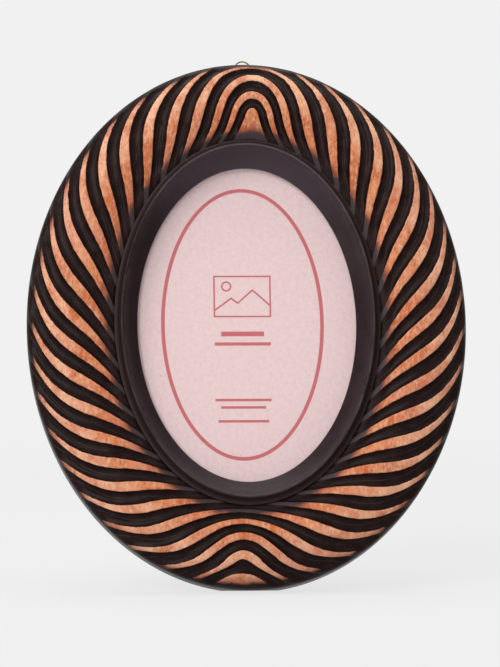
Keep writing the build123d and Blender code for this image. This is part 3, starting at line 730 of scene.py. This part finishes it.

# %% [markdown]
# ## Painted light on the slip's lip and wall
# A painted highlight makes the paint paler along the lip, in patches. The steep wall outside it carries a
# painted shade, paler towards its foot, where painted light lifts the shadow of the lip. Both follow the
# profile number that the slip carries, so they stay on their own stretch of the moulding all the way round.

# %% Paint a highlight on the lip and light and shade on the wall
# The wall colours are painted shade on the steep wall and painted light at its foot; the lip colour is a
# painted highlight.
WALL_PAINTED_SHADE, WALL_FOOT_PAINTED_LIGHT, LIP_PAINTED_HIGHLIGHT = srgb(36, 25, 24), srgb(68, 57, 56), srgb(110, 99, 97)
SLIP_SPECULAR, SLIP_RELIEF = 0.1, 0.05 * MM
profile = satin.attribute("profile")
wall_light_and_shade = satin.mix(satin.ramp(profile, 2.15, 2.5), WALL_PAINTED_SHADE, WALL_FOOT_PAINTED_LIGHT)
charcoal = satin.mix(satin.ramp(profile, 1.9, 2.1), charcoal, wall_light_and_shade)
on_lip = satin.maths("MULTIPLY", satin.ramp(profile, 0.93, 1.0), satin.ramp(profile, 1.5, 1.2))
# Painted highlight along the lip, in patches.
lip_highlight = satin.maths("MULTIPLY", on_lip, satin.ramp(cloud, 0.35, 0.65, 0.04, 0.22))
satin.fill(Base_Color=satin.mix(lip_highlight, charcoal, LIP_PAINTED_HIGHLIGHT), Specular_IOR_Level=SLIP_SPECULAR,
           Roughness=satin.ramp(cloud, 0.2, 0.8, 0.38, 0.5))
satin.bump(speckle, SLIP_RELIEF)
satin.coat(slip)

# %% [markdown]
# ## The pane
# The pane is thin window glass with its sharp edges ground off. It is built a hair thinner than its packed
# solid, because two faces that lie exactly on each other flicker in a render, and the card touches the
# glass. Each row of the pane is an ellipse, and a fan of triangles closes its middle on both faces.

# %% Cut the pane
PANE_COLUMNS = 192
PANE_EASE = 0.06 * MM
PANE_ARRIS = 0.3 * MM
pane_oval = glass_high[:2] - PANE_EASE
pane_back, pane_front = glass_low[2] + PANE_EASE, glass_high[2] - PANE_EASE
pane_outline = [
    (pane_oval - PANE_ARRIS, pane_front),
    (pane_oval, pane_front - PANE_ARRIS),
    (pane_oval, pane_back + PANE_ARRIS),
    (pane_oval - PANE_ARRIS, pane_back),
]
pane_rows = oval_rows(pane_outline, np.arange(PANE_COLUMNS) * 360 / PANE_COLUMNS)
pane_middles = np.array([[0.0, 0.0, pane_front], [0.0, 0.0, pane_back]])
pane_points = to_table(np.concatenate([pane_rows.reshape(-1, 3), pane_middles]))
corner = np.arange(len(pane_outline) * PANE_COLUMNS).reshape(-1, PANE_COLUMNS)
following = np.roll(corner, -1, 1)
pane_sides = np.stack([corner[:-1], following[:-1], following[1:], corner[1:]], -1).reshape(-1, 4)
front_middle, back_middle = len(pane_points) - 2, len(pane_points) - 1
front_fan = np.stack([following[0], corner[0], np.full(PANE_COLUMNS, front_middle)], -1)
back_fan = np.stack([corner[-1], following[-1], np.full(PANE_COLUMNS, back_middle)], -1)
pane_mesh = bpy.data.meshes.new("window_pane")
pane_mesh.from_pydata(pane_points, [], pane_sides.tolist() + front_fan.tolist() + back_fan.tolist())
window_pane = bpy.data.objects.new("window_pane", pane_mesh)
bpy.context.scene.collection.objects.link(window_pane)
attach(window_pane, "frame")
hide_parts("glass_pane")
print("pane faces:", len(pane_mesh.polygons), "mm thick:", round((pane_front - pane_back) / MM, 2))

# %% [markdown]
# ## Glass
# Real glass bends light, but a pane this thin hardly does, so the finish lets light straight through and
# adds a faint reflection. The reflection grows with the fifth power as the glass turns edge on, and it is
# the same on both faces: a rule that knows inside from outside would turn the back face into a mirror.
# Faint smears change the gloss from place to place.

# %% Mix the glass
CLEAR_TINT = (0.985, 0.992, 0.988, 1.0)
HEAD_ON_GLOSS, GLOSS_POWER = 0.017, 5.0
SMEAR_RELIEF = 0.002 * MM
glass = Finish("window_glass")
smear = glass.noise(glass.pattern(40, 40, 90))
gloss_tint = glass.mix(smear, srgb(246, 250, 248), srgb(255, 255, 255))
glass.fill(Base_Color=gloss_tint, Metallic=1.0, Roughness=glass.ramp(smear, 0.3, 0.8, 0.02, 0.08))
glass.bump(smear, SMEAR_RELIEF)
clear = glass.node("BsdfTransparent", {"Color": CLEAR_TINT})
facing_away = glass.node("LayerWeight", {"Blend": 0.5}).outputs["Facing"]
edge_on = glass.maths("POWER", facing_away, GLOSS_POWER)
sheen = glass.maths("MULTIPLY_ADD", edge_on, 1 - HEAD_ON_GLOSS, HEAD_ON_GLOSS)
glass.show(sheen, clear.outputs[0], glass.shader.outputs[0])
glass.coat(window_pane)

# %% [markdown]
# ## The card
# The card that comes in the frame is pale pink paper with fibres and specks, printed in one red: a thin
# oval line, and inside it a plain sign for a picture and a few bars. An image would have to be kept
# beside the script, so each printed shape is a sum in the plane of the card instead. First the place on
# the card is measured in millimetres from the middle of the print.

# %% Measure on the card
PRINT_SHIFT, PRINT_RISE = -2.2 * MM, 0.6 * MM
card = Finish("printed_card")
print_middle = to_table(np.array([[PRINT_SHIFT, PRINT_RISE, 0.0]]))[0]
card_place = card.node("TexCoord").outputs["Object"]
from_print = card.node("Mapping", {"Vector": card_place, "Location": tuple(-print_middle)})
in_millimetres = card.node("Mapping", {"Vector": from_print.outputs[0], "Rotation": (lean, 0, 0),
                                       "Scale": (1 / MM, 1 / MM, 1 / MM)})
card_x, _, card_v = card.node("SeparateXYZ", {0: in_millimetres.outputs[0]}).outputs
print("middle of the print, metres:", np.round(print_middle, 4))

# %% [markdown]
# ## Printed shapes
# Each helper gives the distance outside a shape: below zero is inside it. The smaller of two distances
# joins two shapes, the larger keeps only what they share, and the size of a distance gives its outline.

# %% Measure from the printed shapes
INK_EDGE = 0.12


def off_middle(place, middle):
    """Distance of a place from a middle, to either side."""
    return card.maths("ABSOLUTE", card.maths("SUBTRACT", place, middle))


def card_box(x, v, half_width, half_height):
    """Distance outside a box on the card: the larger of the two overshoots."""
    over_x = card.maths("SUBTRACT", off_middle(card_x, x), half_width)
    over_v = card.maths("SUBTRACT", off_middle(card_v, v), half_height)
    return card.maths("MAXIMUM", over_x, over_v)


def reach(x, v):
    """Length of the long side of a right triangle: the root of the sum of two squares."""
    squares = card.maths("ADD", card.maths("MULTIPLY", x, x), card.maths("MULTIPLY", v, v))
    return card.maths("SQRT", squares)


def card_oval(half_width, half_height):
    """Distance outside an oval round the print's middle, as the overshoot of its scaled radius."""
    scaled_x = card.maths("DIVIDE", card_x, half_width)
    scaled_v = card.maths("DIVIDE", card_v, half_height)
    overshoot = card.maths("SUBTRACT", reach(scaled_x, scaled_v), 1.0)
    return card.maths("MULTIPLY", overshoot, half_width)


def outline_of(distance, half_width):
    """Distance outside a line of the given half width along the edge of a shape."""
    return card.maths("SUBTRACT", card.maths("ABSOLUTE", distance), half_width)


def card_hill(x, top, slope):
    """Height of a hill across the card: its top less the slope times the distance from its middle."""
    return card.maths("SUBTRACT", top, card.maths("MULTIPLY", off_middle(card_x, x), slope))


print("soft edge of the ink, mm:", 2 * INK_EDGE)

# %% [markdown]
# ## Lay out the print
# The oval line is what lies between two ovals. The picture sign is the outline of a box with a round sun
# and the line of two hills, cut off at the box. All shapes are joined into one distance, and the ink is
# full where that is below zero, with a soft printed edge.

# %% Draw the line, the sign and the bars
OVAL_LINE, OVAL_HALF_WIDTH = np.array([42.6, 73.3]), 1.0
PICTURE_SIGN, SIGN_LINE, HILL_LINE = (0.0, 15.0, 15.0, 11.0), 0.45, 0.585
LEFT_HILL, RIGHT_HILL = (-6.0, 14.0, 0.75), (5.5, 18.5, 0.9)
SUN_X, SUN_V, SUN_RADIUS = -8.5, 20.5, 2.4
BARS = ((0.0, -5.5, 11.5, 1.3), (0.0, -11.0, 15.0, 0.9), (0.0, -41.5, 15.0, 0.7),
        (0.0, -45.5, 12.0, 0.7), (0.0, -53.0, 13.5, 0.7))
within_line = card.maths("MULTIPLY", card_oval(*(OVAL_LINE - OVAL_HALF_WIDTH)), -1.0)
oval_line = card.maths("MAXIMUM", card_oval(*(OVAL_LINE + OVAL_HALF_WIDTH)), within_line)
sign_box = card_box(*PICTURE_SIGN)
hills = card.maths("MAXIMUM", card_hill(*LEFT_HILL), card_hill(*RIGHT_HILL))
hill_line = outline_of(card.maths("SUBTRACT", card_v, hills), HILL_LINE)
hill_line = card.maths("MAXIMUM", hill_line, sign_box)
from_sun = reach(card.maths("SUBTRACT", card_x, SUN_X), card.maths("SUBTRACT", card_v, SUN_V))
sun_line = outline_of(card.maths("SUBTRACT", from_sun, SUN_RADIUS), SIGN_LINE)
printed = [oval_line, outline_of(sign_box, SIGN_LINE), hill_line, sun_line]
printed += [card_box(*bar) for bar in BARS]
nearest = printed[0]
for shape in printed[1:]:
    nearest = card.maths("MINIMUM", nearest, shape)
ink = card.ramp(nearest, INK_EDGE, -INK_EDGE)
print("printed shapes:", len(printed))

# %% [markdown]
# ## Paper and ink
# The paper is soft and matt, with fibres in two pinks and a few darker specks. The ink lies thin on it,
# so a little of the paper shows through, and the fibres lift its surface.

# %% Mix the paper and the ink
PAPER_DEEP, PAPER_LIGHT = srgb(223, 192, 194), srgb(233, 204, 205)
SPECK_BROWN, CARD_RED = srgb(170, 130, 132), srgb(192, 74, 82)
SPECK_STRENGTH, INK_STRENGTH = 0.35, 0.92
FIBRE_RELIEF = 0.03 * MM
fibres = card.noise(card.pattern(420, 420, 420), detail=6.0, roughness=0.7)
specks = card.ramp(card.noise(card.pattern(620, 620, 620), detail=1.0), 0.69, 0.75)
paper = card.mix(card.ramp(fibres, 0.3, 0.7), PAPER_DEEP, PAPER_LIGHT)
paper = card.mix(card.maths("MULTIPLY", specks, SPECK_STRENGTH), paper, SPECK_BROWN)
card.fill(Base_Color=card.mix(card.maths("MULTIPLY", ink, INK_STRENGTH), paper, CARD_RED),
          Roughness=card.ramp(fibres, 0.2, 0.8, 0.65, 0.8))
card.bump(fibres, FIBRE_RELIEF)
print("card nodes:", len(card.tree.nodes))

# %% [markdown]
# ## Boards at the back
# The back panel, the leg and its head block are hardboard: pressed brown fibres with a mottled face. The
# filler behind the card is soft grey board. Both are fibre board, so one function mixes them.

# %% Mix the boards
FIBRE_SHARE = 0.6


def board_finish(name, dark, pale, fibre_repeats, relief):
    """Pressed fibre board: short fibres in two tones over a slow mottle, with a matt, hairy face."""
    board = Finish(name)
    fibre = board.noise(board.pattern(*fibre_repeats), detail=5.0, roughness=0.65)
    mottle = board.noise(board.pattern(60, 60, 60))
    share = board.maths("ADD", board.maths("MULTIPLY", fibre, FIBRE_SHARE),
                        board.maths("MULTIPLY", mottle, 1 - FIBRE_SHARE))
    board.fill(Base_Color=board.mix(board.ramp(share, 0.35, 0.65), dark, pale),
               Roughness=board.ramp(fibre, 0.2, 0.8, 0.62, 0.8))
    board.bump(fibre, relief)
    print(name, "nodes:", len(board.tree.nodes))
    return board


hardboard = board_finish("hardboard", srgb(74, 48, 32), srgb(112, 78, 54), (520, 520, 380), 0.06 * MM)
grey_board = board_finish("grey_board", srgb(128, 126, 122), srgb(168, 166, 160), (600, 600, 600), 0.08 * MM)

# %% [markdown]
# ## Metal
# Turn buttons, their screws and the hinge pin are plated steel; the hinge and the hanging ring are brass
# that has dulled in the hand. Metal is told apart by its reflections, so these finishes vary the
# roughness: fine brushed lines on the steel and cloudy tarnish on the brass.

# %% Mix the metals
LINE_ROUGH, TARNISH_ROUGH = 0.12, 0.1
BRUSHED, SCRATCHED = (300, 300, 3000), (900, 900, 900)


def metal_finish(name, bright, dull, line_repeats, smooth_rough):
    """Metal with brushed lines across the face and patches of a duller, rougher tone."""
    metal = Finish(name)
    lines = metal.noise(metal.pattern(*line_repeats))
    patches = metal.noise(metal.pattern(85, 85, 85), detail=6.0, roughness=0.6)
    dullness = metal.ramp(patches, 0.3, 0.8)
    line_rough = metal.ramp(lines, 0.2, 0.8, smooth_rough, smooth_rough + LINE_ROUGH)
    rough = metal.maths("ADD", line_rough, metal.maths("MULTIPLY", dullness, TARNISH_ROUGH))
    metal.fill(Metallic=1.0, Base_Color=metal.mix(dullness, bright, dull), Roughness=rough)
    metal.bump(lines, 0.01 * MM)
    print(name, "nodes:", len(metal.tree.nodes))
    return metal


plated_steel = metal_finish("plated_steel", srgb(178, 178, 175), srgb(138, 137, 133), BRUSHED, 0.27)
hinge_brass = metal_finish("hinge_brass", srgb(196, 158, 96), srgb(150, 114, 66), BRUSHED, 0.3)
hanger_brass = metal_finish("hanger_brass", srgb(146, 130, 108), srgb(98, 82, 64), SCRATCHED, 0.3)

# %% [markdown]
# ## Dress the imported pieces
# The other pieces have the right shape already: boards, screws, buttons, hinge and hanger are cut, turned
# or bent, and the solids show that. They keep their meshes and only get a finish.

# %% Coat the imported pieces
finishes = {"printed_card": card, "grey_board": grey_board, "hardboard": hardboard,
            "plated_steel": plated_steel, "hinge_brass": hinge_brass, "hanger_brass": hanger_brass}
node_slots = {
    "photo_card": "printed_card", "filler_board": "grey_board",
    "back_panel": "hardboard", "strut_head_block": "hardboard", "strut_leg": "hardboard",
    "turn_button_screws": "plated_steel", "hinge_pin": "plated_steel",
    "hinge_fixed_leaf": "hinge_brass", "hinge_moving_leaf": "hinge_brass",
    "head_rivets": "hinge_brass", "leg_rivets": "hinge_brass",
    "hanger_strap": "hanger_brass", "hanger_ring": "hanger_brass", "hanger_screw": "hanger_brass",
}
buttons = [node for node in frame["nodes"] if node.startswith("turn_button_") and node not in node_slots]
node_slots.update({button: "plated_steel" for button in buttons})
for node, slot in node_slots.items():
    finishes[slot].coat(frame["nodes"][node])
print("finished packed pieces:", len(node_slots))

# %% [markdown]
# ## Floor
# The frame stands on wide pale paper, so that it can be seen from every side. What the camera sees of
# the paper is partly its own glow, which keeps the background even, and partly light from the lamps,
# which keeps the soft shadow of the frame. Away from the frame the glow takes over, until the paper and
# the sky have one colour and no horizon shows. Metal and glass see the same glow.

# %% Lay the paper
PAPER_REACH = 60.0
PAPER_PALE, PAPER_LIT = srgb(241, 241, 241), srgb(214, 214, 214)
GLOW_NEAR, GLOW_NEAR_REACH, GLOW_FAR_REACH = 0.82, 0.35, 1.3
paper_points = np.array([[-1, -1, 0], [1, -1, 0], [1, 1, 0], [-1, 1, 0]]) * PAPER_REACH
paper_mesh = bpy.data.meshes.new("paper_floor")
paper_mesh.from_pydata(paper_points, [], [(0, 1, 2, 3)])
paper_floor = bpy.data.objects.new("paper_floor", paper_mesh)
bpy.context.scene.collection.objects.link(paper_floor)


def seen_rays(tree):
    """One for the rays that show a thing to the camera, straight or by way of metal and glass."""
    rays = tree.nodes.new("ShaderNodeLightPath")
    seen = rays.outputs["Is Camera Ray"]
    for kind in ("Is Glossy Ray", "Is Transmission Ray"):
        either = tree.nodes.new("ShaderNodeMath")
        either.operation = "MAXIMUM"
        tree.links.new(seen, either.inputs[0])
        tree.links.new(rays.outputs[kind], either.inputs[1])
        seen = either.outputs[0]
    return seen


pale_paper = Finish("pale_paper")
pale_paper.fill(Base_Color=PAPER_LIT, Roughness=0.9, Specular_IOR_Level=0.1)
paper_place = pale_paper.node("TexCoord").outputs["Object"]
away = pale_paper.node("VectorMath", {0: paper_place}, operation="LENGTH").outputs["Value"]
glow_share = pale_paper.ramp(away, GLOW_NEAR_REACH, GLOW_FAR_REACH, GLOW_NEAR, 1.0)
glow_seen = pale_paper.maths("MULTIPLY", seen_rays(pale_paper.tree), glow_share)
glow = pale_paper.node("Emission", {"Color": PAPER_PALE, "Strength": 1.0})
pale_paper.show(glow_seen, pale_paper.shader.outputs[0], glow.outputs[0])
pale_paper.coat(paper_floor)

# %% [markdown]
# ## Sky
# An even pale sky fills the shadows from every side, as white walls do in a studio. The camera sees it in
# the colour of the paper, and the object is lit by a weaker white, so that a bright background doesn't
# bleach the wood.

# %% Light the sky
DOME_STRENGTH = 0.38
world = bpy.data.worlds.new("pale_sky")
bpy.context.scene.world = world
world.use_nodes = True
sky_tree = world.node_tree
dome = sky_tree.nodes["Background"]
dome.inputs["Strength"].default_value = DOME_STRENGTH
dome.inputs["Color"].default_value = (1.0, 1.0, 1.0, 1.0)
sky_seen = sky_tree.nodes.new("ShaderNodeBackground")
sky_seen.inputs["Color"].default_value = PAPER_PALE
sky_mix = sky_tree.nodes.new("ShaderNodeMixShader")
sky_tree.links.new(seen_rays(sky_tree), sky_mix.inputs[0])
sky_tree.links.new(dome.outputs[0], sky_mix.inputs[1])
sky_tree.links.new(sky_seen.outputs[0], sky_mix.inputs[2])
sky_tree.links.new(sky_mix.outputs[0], sky_tree.nodes["World Output"].inputs["Surface"])
print("sky strength on the object:", DOME_STRENGTH)

# %% [markdown]
# ## Lamps
# A large soft lamp at the upper left gives the ridges their light side, a weak one in front lifts the
# opening, and one above draws a thin bright line along the top. Large lamps keep the edges of the
# shadows soft, as a softbox does.

# %% Set the lamps
LAMPS = {
    "upper_left_lamp": ((-1.35, -1.65, 1.9), 1.5, 41),
    "front_lamp": ((-0.5, -1.7, 0.12), 0.9, 10),
    "top_lamp": ((0.0, 0.25, 1.3), 0.9, 11),
}


def soft_lamp(name, place, aim, size, watts):
    """A square lamp of the given size at a place, turned to shine at its aim."""
    lamp = bpy.data.lights.new(name, "AREA")
    lamp.shape, lamp.size, lamp.energy = "SQUARE", size, watts
    holder = bpy.data.objects.new(name, lamp)
    holder.location = place
    holder.rotation_euler = (Vector(aim) - Vector(place)).to_track_quat("-Z", "Y").to_euler()
    bpy.context.scene.collection.objects.link(holder)
    print(name, watts, "watts")


for name, (place, size, watts) in LAMPS.items():
    soft_lamp(name, place, (cad_low + cad_high) / 2, size, watts)

# %% [markdown]
# ## Camera
# The photograph was taken with a long lens, a little from the left and from above. The camera looks
# at a point near the middle of the frame from that side. The focal length is given in pixels of the
# picture's long side, which is how it was matched.

# %% Place the camera
PHOTO_HEIGHT_PX = 667
FOCAL_PX = 3727.5
SENSOR = 36.0
CAMERA_DISTANCE = 2.0
CAMERA_TURN, CAMERA_RISE = radians(3.06), radians(3.063)
VIEW_MIDDLE = Vector((0.0021, 0.038, 0.1342))
level_look = Vector((sin(CAMERA_TURN), cos(CAMERA_TURN), 0.0))
forward = level_look * cos(CAMERA_RISE) - Vector((0.0, 0.0, sin(CAMERA_RISE)))
camera_data = bpy.data.cameras.new("camera")
camera_data.sensor_width = SENSOR
camera_data.lens = FOCAL_PX * SENSOR / PHOTO_HEIGHT_PX
camera = bpy.data.objects.new("camera", camera_data)
camera.location = VIEW_MIDDLE - forward * CAMERA_DISTANCE
camera.rotation_euler = forward.to_track_quat("-Z", "Y").to_euler()
bpy.context.scene.collection.objects.link(camera)
bpy.context.scene.camera = camera
bpy.context.scene.view_settings.view_transform = "Standard"
print("lens in mm:", round(camera_data.lens, 1))
